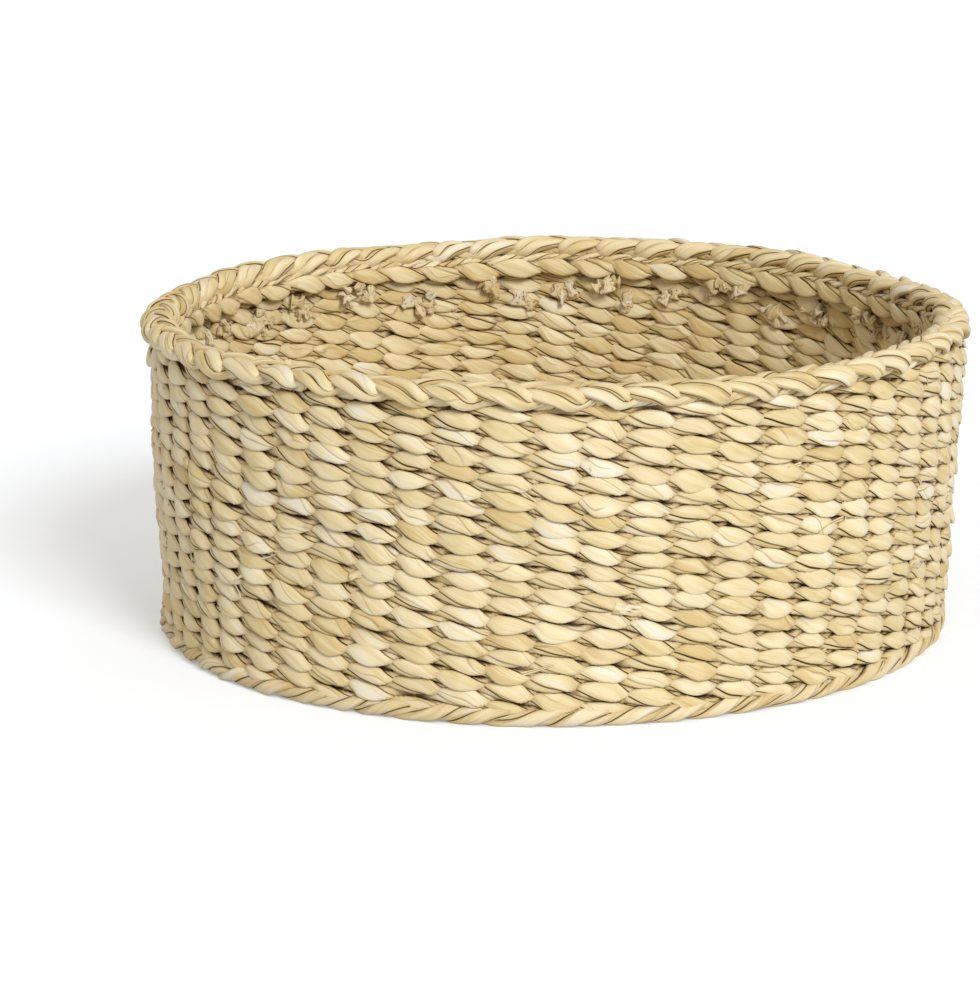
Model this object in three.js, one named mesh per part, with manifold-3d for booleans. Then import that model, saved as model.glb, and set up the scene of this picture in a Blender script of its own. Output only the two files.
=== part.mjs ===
// Round low basket, plain woven from flattened leaf strands over upright stakes.
// Millimetres, +Z up. The origin is on the floor at the basket's centre.
import * as THREE from "three";
import { mergeVertices } from "three/addons/utils/BufferGeometryUtils.js";
import Module from "manifold-3d";

const wasm = await Module();
wasm.setup();

// Overall size
const HEIGHT = 158; // floor to the top of the rim
const WALL_RADIUS = 196; // outside of the weave just under the rim
const WALL_LEAN = 3; // how much less that radius is just over the foot
const CLEARANCE = 0.3; // left between pieces that touch

// Stakes, which the weave goes round
const STAKE_PAIRS = 28; // each spoke of the base carries a pair of side stakes
const STAKE_THICKNESS = 3.0; // through the wall
const STAKE_WIDTH = 6.0; // along the wall
const SPOKE_INNER_WIDTH = 2.6; // a spoke where it leaves the hub
const SPOKE_SPREAD_LENGTH = 60; // from the hub to where a spoke has a stake's full width
const HUB_RADIUS = 30; // where the spokes cross and are bound
const HUB_THICKNESS = 4.0;
const STAKE_SEAT_DEPTH = 7.0; // length of a stake's top that stands inside the rim

// Side weavers, one strand to a round
const ROUND_PITCH = 4.0; // least rise from one round to the next
const STRAND_THICKNESS = 3.0; // through the wall
const SPREAD = 0.72; // share of two pitches that a strand fills where it passes outside a stake

// Base weavers
const BASE_ROUND_PITCH = 12.5; // least step outwards from one round to the next
const BASE_STRAND_THICKNESS = 2.7;
const BASE_SPREAD = 0.56; // share of two pitches that a strand fills where it passes over a spoke
const BASE_CLEAR_OF_FLOOR = 1.4;

// Rolled rim, and the twisted row under it on the inside
const RIM_WIDTH = 17;
const RIM_DEPTH = 14;
const RIM_OVERHANG = 4; // how far the rim stands out from the weave under it
const RIM_CORNERS = 8; // corners of its oval section, the groove's aside
const INNER_ROW_WIDTH = 5.4;
const INNER_ROW_DEPTH = 7.0;

// Braid round the foot, with a lip that the stakes rest on
const FOOT_WIDTH = 3.8;
const FOOT_HEIGHT = 9.4;
const FOOT_EDGE = 1.4; // the braid's rounded edges
const FOOT_LIP_WIDTH = 11.0;

const STRAW = { color: 0xd9c492, roughness: 0.78, metalness: 0 };
const PALE_STRAW = { color: 0xe3d2a6, roughness: 0.8, metalness: 0 };
const DRY_STRAW = { color: 0xb99f6c, roughness: 0.85, metalness: 0 };

// Places that follow from the sizes
const stakeCount = 2 * STAKE_PAIRS;
const halfStake = STAKE_THICKNESS / 2;
const wallHalf = halfStake + CLEARANCE + STRAND_THICKNESS; // from the stakes' middle to the weave's face
const baseHalf = halfStake + CLEARANCE + BASE_STRAND_THICKNESS;
const baseLevel = BASE_CLEAR_OF_FLOOR + baseHalf; // height of the spokes' middle
const rimUnderside = HEIGHT - RIM_DEPTH;
const wallBottom = FOOT_HEIGHT + CLEARANCE;
const wallTop = rimUnderside - CLEARANCE;
const stakeTop = rimUnderside + STAKE_SEAT_DEPTH - CLEARANCE;

// Radius of the stakes' middle at a height: the wall leans out evenly from foot to rim.
function stakeRadius(z) {
  const share = (z - wallBottom) / (wallTop - wallBottom);
  return WALL_RADIUS - WALL_LEAN * (1 - share) - wallHalf;
}

const footInside = stakeRadius(wallBottom) + halfStake + CLEARANCE;
const lipInside = footInside - FOOT_LIP_WIDTH;
const turnRadius = stakeRadius(baseLevel);

// Rounds that fill a span: their number and pitch, and a strand's width on its two sides.
function roundsIn(span, leastPitch, spread) {
  const lost = 2 * spread * CLEARANCE;
  const count = Math.floor((span + lost) / leastPitch + 1 - 2 * spread);
  const pitch = (span + lost) / (count - 1 + 2 * spread);
  const room = 2 * (pitch - CLEARANCE);
  return { count, pitch, wide: room * spread, narrow: room * (1 - spread) };
}

// A point at an angle round the basket, with an optional step sideways along the wall.
function around(angle, radius, z, sideways = 0) {
  return new THREE.Vector3(
    radius * Math.cos(angle) - sideways * Math.sin(angle),
    radius * Math.sin(angle) + sideways * Math.cos(angle),
    z,
  );
}

// A closed mesh through a row of sections, whose points run anticlockwise for someone
// who looks back from the next section. A ring joins its last section to its first.
function throughSections(sections, isRing) {
  const sides = sections[0].length;
  const index = [];
  const spans = isRing ? sections.length : sections.length - 1;
  for (let i = 0; i < spans; i++) {
    const near = i * sides;
    const far = ((i + 1) % sections.length) * sides;
    for (let j = 0; j < sides; j++) {
      const k = (j + 1) % sides;
      index.push(near + j, near + k, far + k, near + j, far + k, far + j);
    }
  }
  if (!isRing) {
    const last = (sections.length - 1) * sides;
    for (let j = 1; j < sides - 1; j++) {
      index.push(0, j + 1, j, last, last + j, last + j + 1);
    }
  }
  const geometry = new THREE.BufferGeometry();
  const positions = sections.flat().flatMap((point) => [point.x, point.y, point.z]);
  geometry.setAttribute("position", new THREE.Float32BufferAttribute(positions, 3));
  geometry.setIndex(index);
  return geometry;
}

// A ring turned from a closed outline of [radius, height] points, with a corner over each stake.
function turnedRing(outline) {
  const points = outline.map(([radius, z]) => new THREE.Vector2(radius, z));
  return new THREE.LatheGeometry([...points, points[0]], stakeCount).rotateX(Math.PI / 2);
}

function toSolid(geometry) {
  const bare = geometry.clone();
  bare.deleteAttribute("normal");
  bare.deleteAttribute("uv");
  const merged = mergeVertices(bare, 1e-4);
  return new wasm.Manifold(
    new wasm.Mesh({
      numProp: 3,
      vertProperties: merged.attributes.position.array,
      triVerts: new Uint32Array(merged.index.array),
    }),
  );
}

function toGeometry(solid) {
  const mesh = solid.getMesh();
  const geometry = new THREE.BufferGeometry();
  geometry.setAttribute("position", new THREE.BufferAttribute(mesh.vertProperties, 3));
  geometry.setIndex(new THREE.BufferAttribute(mesh.triVerts, 1));
  return geometry;
}

// A stake's lozenge section at a height.
function stakeSection(angle, z) {
  const radius = stakeRadius(z);
  return [
    around(angle, radius + halfStake, z),
    around(angle, radius, z, STAKE_WIDTH / 2),
    around(angle, radius - halfStake, z),
    around(angle, radius, z, -STAKE_WIDTH / 2),
  ];
}

// A spoke's lozenge section at a radius.
function spokeSection(angle, radius, width) {
  return [
    around(angle, radius, baseLevel + halfStake),
    around(angle, radius, baseLevel, -width / 2),
    around(angle, radius, baseLevel - halfStake),
    around(angle, radius, baseLevel, width / 2),
  ];
}

function turnSection(angle) {
  return [
    around(angle, turnRadius - halfStake, baseLevel),
    around(angle, turnRadius, baseLevel + halfStake),
    around(angle, turnRadius + halfStake, baseLevel),
    around(angle, turnRadius, baseLevel - halfStake),
  ];
}

// The stakes, in one piece: spokes that cross at the hub and run out under the floor of the
// basket, a ring where they turn up, and the side stakes that rise from it into the rim.
function stakes() {
  const hub = new THREE.CylinderGeometry(HUB_RADIUS, HUB_RADIUS, HUB_THICKNESS, STAKE_PAIRS);
  hub.rotateX(Math.PI / 2).translate(0, 0, baseLevel);
  const turnSections = [];
  const bars = [];
  for (let stake = 0; stake < stakeCount; stake++) {
    const angle = (2 * Math.PI * stake) / stakeCount;
    turnSections.push(turnSection(angle));
    bars.push([stakeSection(angle, baseLevel), stakeSection(angle, stakeTop)]);
  }
  for (let spoke = 0; spoke < STAKE_PAIRS; spoke++) {
    const angle = (2 * Math.PI * spoke) / STAKE_PAIRS;
    bars.push([
      spokeSection(angle, HUB_RADIUS - HUB_THICKNESS, SPOKE_INNER_WIDTH),
      spokeSection(angle, HUB_RADIUS + SPOKE_SPREAD_LENGTH, STAKE_WIDTH),
      spokeSection(angle, turnRadius, STAKE_WIDTH),
    ]);
  }
  const pieces = bars.map((sections) => throughSections(sections, false));
  pieces.push(hub, throughSections(turnSections, true));
  return toGeometry(wasm.Manifold.union(pieces.map(toSolid)));
}

// One strand woven once round the wall, as a band with its flat side inwards: it is spread
// out where it passes outside a stake and pulled together where it passes inside the next.
function sideRound(z, row, rounds) {
  const sections = [];
  for (let stake = 0; stake < stakeCount; stake++) {
    const angle = (2 * Math.PI * stake) / stakeCount;
    const isOutside = (stake + row) % 2 === 0;
    const flat = stakeRadius(z) + (isOutside ? halfStake + CLEARANCE : -wallHalf);
    const half = (isOutside ? rounds.wide : rounds.narrow) / 2;
    sections.push([
      around(angle, flat, z + half),
      around(angle, flat + STRAND_THICKNESS, z),
      around(angle, flat, z - half),
    ]);
  }
  return throughSections(sections, true);
}

// One strand woven once round the base, flat side down, over one spoke and under the next.
function baseRound(radius, row, rounds) {
  const sections = [];
  for (let spoke = 0; spoke < STAKE_PAIRS; spoke++) {
    const angle = (2 * Math.PI * spoke) / STAKE_PAIRS;
    const isOver = (spoke + row) % 2 === 0;
    const flat = baseLevel + (isOver ? halfStake + CLEARANCE : -baseHalf);
    const half = (isOver ? rounds.wide : rounds.narrow) / 2;
    sections.push([
      around(angle, radius - half, flat),
      around(angle, radius, flat + BASE_STRAND_THICKNESS),
      around(angle, radius + half, flat),
    ]);
  }
  return throughSections(sections, true);
}

// The rolled rim: an oval section with a groove below, in which the stakes' tops stand.
function rim() {
  const outside = WALL_RADIUS + RIM_OVERHANG;
  const middle = new THREE.Vector2(outside - RIM_WIDTH / 2, HEIGHT - RIM_DEPTH / 2);
  const grooveHalf = halfStake + 2 * CLEARANCE;
  const grooveMiddle = stakeRadius(rimUnderside);
  const lipAngle = (radius) => -Math.acos((radius - middle.x) / (RIM_WIDTH / 2));
  const angles = [lipAngle(grooveMiddle + grooveHalf)];
  for (let corner = 1; corner < RIM_CORNERS; corner++) {
    angles.push((2 * Math.PI * corner) / RIM_CORNERS - Math.PI / 2);
  }
  angles.push(lipAngle(grooveMiddle - grooveHalf));
  const outline = angles.map((angle) => [
    middle.x + (RIM_WIDTH / 2) * Math.cos(angle),
    middle.y + (RIM_DEPTH / 2) * Math.sin(angle),
  ]);
  const grooveTop = rimUnderside + STAKE_SEAT_DEPTH;
  outline.push([grooveMiddle - grooveHalf, grooveTop], [grooveMiddle + grooveHalf, grooveTop]);
  return turnedRing(outline);
}

// The twisted row that lies under the rim against the inside of the weave.
function innerRow() {
  const outer = stakeRadius(wallTop - INNER_ROW_DEPTH) - wallHalf - CLEARANCE;
  const middle = outer - INNER_ROW_WIDTH / 2;
  const bottom = wallTop - INNER_ROW_DEPTH;
  const edge = INNER_ROW_DEPTH / 4;
  return turnedRing([
    [outer, bottom + edge],
    [outer, wallTop - edge],
    [middle, wallTop],
    [outer - INNER_ROW_WIDTH, wallTop - edge],
    [outer - INNER_ROW_WIDTH, bottom + edge],
    [middle, bottom],
  ]);
}

// The braid round the foot, flat below, whose lip runs in under the stakes' turn.
function foot() {
  const lipTop = baseLevel - halfStake - CLEARANCE;
  const outside = footInside + FOOT_WIDTH;
  return turnedRing([
    [lipInside, 0],
    [outside - FOOT_EDGE, 0],
    [outside, FOOT_EDGE],
    [outside, FOOT_HEIGHT - FOOT_EDGE],
    [outside - FOOT_EDGE, FOOT_HEIGHT],
    [footInside, FOOT_HEIGHT],
    [footInside, lipTop],
    [lipInside, lipTop],
  ]);
}

const basket = new THREE.Group();

function add(name, geometry, look) {
  geometry.computeVertexNormals();
  const mesh = new THREE.Mesh(geometry, new THREE.MeshStandardMaterial(look));
  mesh.name = name;
  basket.add(mesh);
}

add("stakes", stakes(), DRY_STRAW);

const sideRounds = roundsIn(wallTop - wallBottom, ROUND_PITCH, SPREAD);
for (let row = 0; row < sideRounds.count; row++) {
  const z = wallBottom + sideRounds.wide / 2 + row * sideRounds.pitch;
  const number = String(row + 1).padStart(2, "0");
  add(`side_round_${number}`, sideRound(z, row, sideRounds), row % 2 ? STRAW : PALE_STRAW);
}

const baseStart = HUB_RADIUS + CLEARANCE;
const baseRounds = roundsIn(lipInside - CLEARANCE - baseStart, BASE_ROUND_PITCH, BASE_SPREAD);
for (let row = 0; row < baseRounds.count; row++) {
  const radius = baseStart + baseRounds.wide / 2 + row * baseRounds.pitch;
  const number = String(row + 1).padStart(2, "0");
  add(`base_round_${number}`, baseRound(radius, row, baseRounds), row % 2 ? STRAW : PALE_STRAW);
}

add("foot_border", foot(), STRAW);
add("rim_border", rim(), STRAW);
add("inner_row", innerRow(), PALE_STRAW);

export default basket;
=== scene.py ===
"""Low round basket, plain woven from flattened leaf strands: the surfaces that dress its frame."""

import bpy
import numpy as np
from mathutils import Matrix, Vector


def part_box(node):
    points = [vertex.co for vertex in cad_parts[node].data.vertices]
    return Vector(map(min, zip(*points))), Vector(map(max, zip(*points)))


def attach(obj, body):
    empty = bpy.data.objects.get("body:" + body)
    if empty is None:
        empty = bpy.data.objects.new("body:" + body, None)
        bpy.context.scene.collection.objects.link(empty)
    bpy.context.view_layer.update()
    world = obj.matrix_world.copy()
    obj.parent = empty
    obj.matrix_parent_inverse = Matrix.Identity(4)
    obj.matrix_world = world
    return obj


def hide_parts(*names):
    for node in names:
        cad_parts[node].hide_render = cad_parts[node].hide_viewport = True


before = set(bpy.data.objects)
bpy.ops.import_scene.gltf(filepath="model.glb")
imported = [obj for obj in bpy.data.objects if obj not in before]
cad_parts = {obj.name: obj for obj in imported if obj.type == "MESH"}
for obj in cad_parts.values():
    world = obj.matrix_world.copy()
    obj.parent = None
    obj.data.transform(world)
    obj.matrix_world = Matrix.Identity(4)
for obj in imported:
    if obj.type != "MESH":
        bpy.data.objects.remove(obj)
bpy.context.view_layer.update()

bl_info = {
    "name": "Woven leaf basket",
    "version": (1, 0, 0),
    "blender": (4, 5, 0),
    "location": "View3D > Sidebar > Basket",
    "description": "Builds the wall, rim, foot, base and stakes of a round basket of woven leaf",
    "category": "Add Mesh",
}

MM = 0.001
TAU = 2 * np.pi

# The frame's rounds and levels
SIDE_ROUNDS = sorted(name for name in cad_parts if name.startswith("side_round_"))
BASE_ROUNDS = sorted(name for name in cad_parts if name.startswith("base_round_"))
RIM_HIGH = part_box("rim_border")[1]
FOOT_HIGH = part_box("foot_border")[1]
ROW_LOW, ROW_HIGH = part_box("inner_row")
FIRST_LOW, FIRST_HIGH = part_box(SIDE_ROUNDS[0])
LAST_LOW, LAST_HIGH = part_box(SIDE_ROUNDS[-1])
FIRST_LEVEL = (FIRST_LOW[2] + FIRST_HIGH[2]) / 2
LAST_LEVEL = (LAST_LOW[2] + LAST_HIGH[2]) / 2

# Stakes, half the wall's thickness, the height of the spokes' middle and the hub's radius
STAKES = 56
WEAVE_HALF = 4.8 * MM
BASE_LEVEL = 5.9 * MM
HUB = 30 * MM
# Odd spokes end at the first radius, and the base is woven over all of them beyond the second
ODD_SPOKES_END = 96 * MM
ALL_SPOKES_FROM = 125 * MM
# The radius at which the plait's turns are spread round the rim
PLAIT_RADIUS = 0.196
# The direction in which every ring of strand starts and ends
START = np.radians(137)

# Waves of the hand-made form: size, waves round it, radians for a metre of height, and start. In
# each pair, the first ones grow with height and the others are strongest at middle height. The size
# of a slide is an angle.
OVAL_WAVE = [(0.7 * MM, 2, 0, 0.6)]
SWELL_WAVES = (
    [(0.6 * MM, 5, 0, 2.1)],
    [(0.7 * MM, 3, TAU / 0.11, 0), (0.5 * MM, 11, 60, 0)],
)
LIFT_WAVES = (
    [(0.5 * MM, 3, 0, 1), (0.4 * MM, 8, 0, 0)],
    [(0.7 * MM, 13, 44, 0), (0.6 * MM, 7, -61, 2), (0.4 * MM, 29, 90, 1)],
)
SLIDE_WAVES = (
    [(0.008, 9, 24, 0), (0.005, 17, -31, 1)],
    [(0.010, 4, 38, 0)],
)
# Places of the hand-made form: direction and half width in degrees, and depth
BULGES = [(0, 40, 3.2 * MM), (183, 32, 1.8 * MM)]
FOOT_DRAWS = [(-28, 42, 2.2 * MM)]
RIM_DIPS = [(26, 20, 3.0 * MM), (109, 13, 2.6 * MM), (150, 22, 1.6 * MM), (62, 12, 0.8 * MM)]

# The photograph's frame and camera
PHOTO_WIDTH = 980
PHOTO_HEIGHT = 981
PHOTO_CENTRE_X = 554.8
PHOTO_CENTRE_Y = 448.4
FOCAL_PIXELS = 4042
CAMERA_ELEVATION = 12.93
CAMERA_DISTANCE = 1.985
CAMERA_AIM = 0.085


# Arrays


def smooth(x, low, high):
    """0 below low, 1 above high, and an S-shaped rise between them."""
    t = np.clip((x - low) / (high - low), 0, 1)
    return t * t * (3 - 2 * t)


def draws(rng, count, spread, middle_value=0.0):
    """Random values, one for each stitch, within spread of a middle value."""
    return middle_value + spread * rng.uniform(-1, 1, count)


def by_stitch(values, place):
    """Each stitch's own value, passing into the next one's near whole numbers of place."""
    index = np.floor(place).astype(int)
    part = place - index
    towards = np.where(part > 0.5, 1, -1)
    share = smooth(np.abs(part - 0.5), 0.36, 0.5) / 2
    here = values[index % len(values)]
    there = values[(index + towards) % len(values)]
    return here * (1 - share) + there * share


def drifting(values, place):
    """Each stitch's own value at its middle, easing all the way into the next stitch's."""
    shifted = place - 0.5
    index = np.floor(shifted).astype(int)
    share = smooth(shifted - index, 0, 1)
    return values[index % len(values)] * (1 - share) + values[(index + 1) % len(values)] * share


def tones(rng, count, darker=0.0):
    """Random tones of leaf, 0 for the palest, bunched round the middle."""
    return np.clip(rng.beta(3.0, 3.2, count) + darker, 0, 1)


def unit(vectors):
    """Vectors divided by their own lengths."""
    return vectors / np.linalg.norm(vectors, axis=-1, keepdims=True)


def ring_angles(steps):
    """Evenly spaced angles once round, from where every ring starts."""
    return START + TAU * np.arange(steps) / steps


def ring_point(angle, radius, height):
    """Points at an angle, a radius and a height: the cosine and the sine times the radius."""
    angle, radius, height = np.broadcast_arrays(angle, radius, height)
    return np.stack([radius * np.cos(angle), radius * np.sin(angle), height], axis=-1)


def flat_way(centre, way):
    """The same direction for every point of a flat path: up for 1, and down for -1."""
    return np.broadcast_to(np.array([0.0, 0.0, way]), centre.shape)


def waves(rows, angle, height):
    """Sum of sines of a count times the angle, plus a slope times the height, plus a start."""
    return sum(size * np.sin(count * angle + slope * height + start)
               for size, count, slope, start in rows)


def bells(rows, angle):
    """Sum of bell curves: a depth times e to minus the square of the way from a middle."""
    total = 0.0
    for middle, width, depth in rows:
        away = (angle - np.radians(middle) + np.pi) % TAU - np.pi
        total = total + depth * np.exp(-(away / np.radians(width)) ** 2)
    return total


def hand_made(points):
    """Bend a true round basket into one shaped by hand.

    Slow waves in angle and height swell the radius, lift the rounds and slide the stakes sideways.
    All but the wave that makes it oval grow from nothing at the floor. The rim dips in a few places.
    The right side and the left bulge below the rim, and the right front draws in at the foot.
    """
    x, y, z = points[..., 0], points[..., 1], points[..., 2]
    angle = np.arctan2(y, x)
    radius = np.hypot(x, y)
    rise = z / RIM_HIGH[2]
    wall = smooth(radius, 0.10, 0.18)
    middle = np.clip(4 * rise * (1 - rise), 0, 1)

    def pair(growing, halfway):
        """Waves that grow with height, and waves that are strongest at middle height."""
        return rise * waves(growing, angle, z) + middle * waves(halfway, angle, z)

    shoulder = smooth(rise, 0.35, 0.62) * (1 - smooth(rise, 0.86, 0.95))
    ankle = 1 - smooth(rise, 0.02, 0.42)
    swell = waves(OVAL_WAVE, angle, z) + pair(*SWELL_WAVES)
    swell = swell + shoulder * bells(BULGES, angle) - ankle * bells(FOOT_DRAWS, angle)
    lift = pair(*LIFT_WAVES) - smooth(rise, 0.3, 1.0) * bells(RIM_DIPS, angle)
    slide = pair(*SLIDE_WAVES)
    return ring_point(angle + slide * wall, radius + swell * wall, z + lift * wall)


class Strand:
    """A leaf strand of two plies twisted together, carried along a path.

    centre and outward have one row for each step. upward is square to both. The two plies are equal
    circles side by side, turned by the twist and then stretched to half_width along upward and to
    half_depth along outward. lobe is how far their centres lie apart, as a share. sharp, above 0,
    draws the upper and lower edges out to a fold, and below 0 it flattens the faces between them.
    tilt leans the section, so that its lower edge stands out. shade is how light the section's edges
    stay under the painted shade, and offset is how far a wall's strand stands out of the wall's
    middle. The crease darkness is how dark the shade painted in the creases between the plies is.
    The scuffs darken random stitches and carry painted shade where a strand passes under. crumple
    folds the section with ripples, sines of the angle round it that waver along it.
    """

    def __init__(self, centre, outward, half_width, half_depth, closed=True):
        count = len(centre)
        self.centre = centre
        self.closed = closed
        if closed:
            along = np.roll(centre, -1, axis=0) - np.roll(centre, 1, axis=0)
        else:
            along = np.gradient(centre, axis=0)
        self.along = unit(along)
        self.upward = unit(np.cross(outward, self.along))
        self.outward = unit(np.cross(self.along, self.upward))
        self.half_width = half_width + np.zeros(count)
        self.half_depth = half_depth + np.zeros(count)
        self.lobe = 0.32
        self.sharp = 0.0
        self.shade = 0.4
        self.twist = np.full(count, np.pi / 2)
        self.tilt = np.zeros(count)
        self.tone = np.full(count, 0.5)
        self.other_tone = np.full(count, 0.5)
        self.wear = np.zeros(count)
        self.seam = np.ones(count)
        self.offset = None
        self.crumple = 0.0
        self.crumple_start = 0.0

    def dye(self, rng, count, place, tone, other_tone, ease=by_stitch):
        """Draw each stitch's tones, for one ply and then for the other."""
        self.tone = ease(tones(rng, count, tone), place)
        self.other_tone = ease(tones(rng, count, other_tone), place)

    def section(self, sides):
        """Points of every section, and what its colours need.

        At an angle from the plies' line, the outline of two circles of radius 1 - lobe, whose centres
        lie lobe to each side, is lobe times the cosine plus the root of the rest. The first point is
        in the crease between the plies. The level is 0 in a crease and 1, or -1 on the other ply,
        where a ply or a ripple stands out furthest; the material paints shade where it is near 0. The
        unshaded share is 1 on a face in the open, and falls towards the edges and in the recesses of
        the wall, where the material paints shade. inner is 1 on the side that faces into the basket,
        where a darker, warmer tone is painted as shade.
        """
        turn = TAU * np.arange(sides) / sides + np.pi / 2
        chord = (1 - self.lobe) ** 2 - (self.lobe * np.sin(turn)) ** 2
        reach = self.lobe * np.abs(np.cos(turn)) + np.sqrt(chord)
        angle = self.twist[:, None] + turn[None, :]
        row = np.arange(len(self.centre))[:, None] + self.crumple_start
        folds = np.sin(5 * turn[None, :] + 1.1 * np.sin(0.8 * row))
        folds = folds + 0.7 * np.sin(7 * turn[None, :] - 0.3 * row)
        ripple = self.crumple * (folds + 0.5 * np.sin(2 * turn[None, :] + 1.7 * row))
        reach = reach * (1 + ripple)
        across = self.half_width[:, None] * reach * np.cos(angle)
        outwards = reach * np.sin(angle)
        outwards = outwards * np.abs(outwards) ** self.sharp
        bulge = self.half_depth[:, None] * outwards - self.tilt[:, None] * across
        points = self.centre[:, None, :] + across[..., None] * self.upward[:, None, :]
        points = points + bulge[..., None] * self.outward[:, None, :]
        inner = np.zeros(bulge.shape)
        # Painted shade falls towards the section's edges, and into the valleys of a crumpled one
        facing = smooth(np.abs(outwards), 0.52, 0.80)
        if self.offset is None:
            unshaded = self.shade + (1 - self.shade) * facing + 1.6 * np.minimum(ripple, 0)
        else:
            # In the wall, painted shade falls with depth into the wall and at the edges, less on the
            # inside
            out = (self.offset[:, None] + bulge) / WEAVE_HALF
            inner = smooth(-out, 0.0, 0.5)
            unshaded = (0.3 + 0.7 * facing) * np.abs(out) + 0.1 * inner
        level = np.broadcast_to(np.cos(turn), unshaded.shape)
        # A crumpled section's ripple valleys take painted crease shade
        if self.crumple:
            level = np.clip(0.6 + 0.35 * ripple / self.crumple, 0, 1)
        return points, level, np.clip(unshaded, 0, 1), inner


def join(name, strands, sides, seed):
    """One mesh of many strands: a grid of quads round each, with caps on open ends.

    The UV map runs in metres along and round each strand. Each strand's is shifted by a step of its
    own, so that no two show the same stretch of leaf.
    """
    points, faces, caps, uvs, leaves, wears_and_shades = [], [], [], [], [], []
    start = 0
    for number, strand in enumerate(strands):
        grid, ply, unshaded, inner = strand.section(sides)
        count = len(grid)
        spans = count if strand.closed else count - 1
        i = np.arange(spans)[:, None]
        j = np.arange(sides)[None, :]
        near = i * sides + j
        near_next = i * sides + (j + 1) % sides
        far = ((i + 1) % count) * sides + j
        far_next = ((i + 1) % count) * sides + (j + 1) % sides
        quads = np.stack([near, near_next, far_next, far], axis=-1).reshape(-1, 4)
        steps = np.linalg.norm(np.diff(strand.centre, axis=0, append=strand.centre[:1]), axis=1)
        length = np.concatenate([[0], np.cumsum(steps)])
        arc = 4.2 * np.mean(strand.half_width) * np.arange(sides + 1) / sides
        arc = arc + seed * 0.37 + number * 0.0531
        u0 = np.broadcast_to(length[:spans, None], (spans, sides))
        u1 = np.broadcast_to(length[1:spans + 1, None], (spans, sides))
        v0 = np.broadcast_to(arc[None, :-1], (spans, sides))
        v1 = np.broadcast_to(arc[None, 1:], (spans, sides))
        corners = [np.stack(pair, -1) for pair in ((u0, v0), (u0, v1), (u1, v1), (u1, v0))]
        tone = np.broadcast_to(strand.tone[:, None], (count, sides))
        other = np.broadcast_to(strand.other_tone[:, None], (count, sides))
        points.append(grid.reshape(-1, 3))
        faces.append(quads + start)
        uvs.append(np.stack(corners, axis=2).reshape(-1, 2))
        # Painted shade on the inside of the basket: a darker, warmer tone
        inside_shade = 0.15 * inner
        leaves.append(np.stack([tone + inside_shade, other + inside_shade, ply], axis=-1).reshape(-1, 3))
        wear = np.broadcast_to(strand.wear[:, None], (count, sides))
        seam = np.broadcast_to(strand.seam[:, None], (count, sides))
        wears_and_shades.append(np.stack([wear, unshaded, seam], axis=-1).reshape(-1, 3))
        if not strand.closed:
            caps.append(np.arange(start + sides - 1, start - 1, -1))
            caps.append(np.arange(start + (count - 1) * sides, start + count * sides))
        start += count * sides
    points = hand_made(np.concatenate(points))
    points[:, 2] = np.maximum(points[:, 2], 0.0)
    return make_mesh(name, points, np.concatenate(faces), caps, np.concatenate(uvs),
                     np.concatenate(leaves), np.concatenate(wears_and_shades))


def make_mesh(name, points, quads, caps, uvs, leaf, wear):
    """Put arrays of points, quads and cap polygons into a mesh object with its attributes."""
    mesh = bpy.data.meshes.new(name)
    loops = np.concatenate([quads.reshape(-1), *caps]).astype(np.int32)
    sizes = np.concatenate([np.full(len(quads), 4), [len(cap) for cap in caps]]).astype(np.int32)
    starts = np.concatenate([[0], np.cumsum(sizes)[:-1]]).astype(np.int32)
    mesh.vertices.add(len(points))
    mesh.vertices.foreach_set("co", np.ascontiguousarray(points, dtype=np.float32).reshape(-1))
    mesh.loops.add(len(loops))
    mesh.loops.foreach_set("vertex_index", loops)
    mesh.polygons.add(len(sizes))
    mesh.polygons.foreach_set("loop_start", starts)
    mesh.polygons.foreach_set("loop_total", sizes)
    mesh.polygons.foreach_set("use_smooth", np.ones(len(sizes), dtype=bool))
    mesh.update(calc_edges=True)
    layer = mesh.uv_layers.new(name="UVMap")
    flat = np.zeros((len(loops), 2), dtype=np.float32)
    flat[:len(uvs)] = uvs
    layer.data.foreach_set("uv", flat.reshape(-1))
    for key, values in (("leaf", leaf), ("wear", wear)):
        store = mesh.attributes.new(key, "FLOAT_VECTOR", "POINT")
        store.data.foreach_set("vector", np.ascontiguousarray(values, dtype=np.float32).reshape(-1))
    piece = bpy.data.objects.new(name, mesh)
    bpy.context.scene.collection.objects.link(piece)
    return piece


# Shader maths


class Value:
    """A number socket in a node tree, with arithmetic that adds Math nodes."""

    def __init__(self, nodes, socket):
        self.nodes = nodes
        self.socket = socket

    def _math(self, operation, *values):
        return self.nodes.add("ShaderNodeMath", {"operation": operation}, dict(enumerate(values)))

    def __add__(self, other):
        return self._math("ADD", self, other)

    def __radd__(self, other):
        return self._math("ADD", other, self)

    def __sub__(self, other):
        return self._math("SUBTRACT", self, other)

    def __rsub__(self, other):
        return self._math("SUBTRACT", other, self)

    def __mul__(self, other):
        return self._math("MULTIPLY", self, other)

    def __rmul__(self, other):
        return self._math("MULTIPLY", other, self)

    def size(self):
        """The number without its sign."""
        return self._math("ABSOLUTE", self)

    def fraction(self):
        """What is left after whole numbers are taken off."""
        return self._math("FRACT", self)

    def between(self, low, high):
        """0 at low and 1 at high, smoothly, and level outside them."""
        settings = {"interpolation_type": "SMOOTHSTEP"}
        values = {"Value": self, "From Min": low, "From Max": high}
        return self.nodes.add("ShaderNodeMapRange", settings, values)


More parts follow.
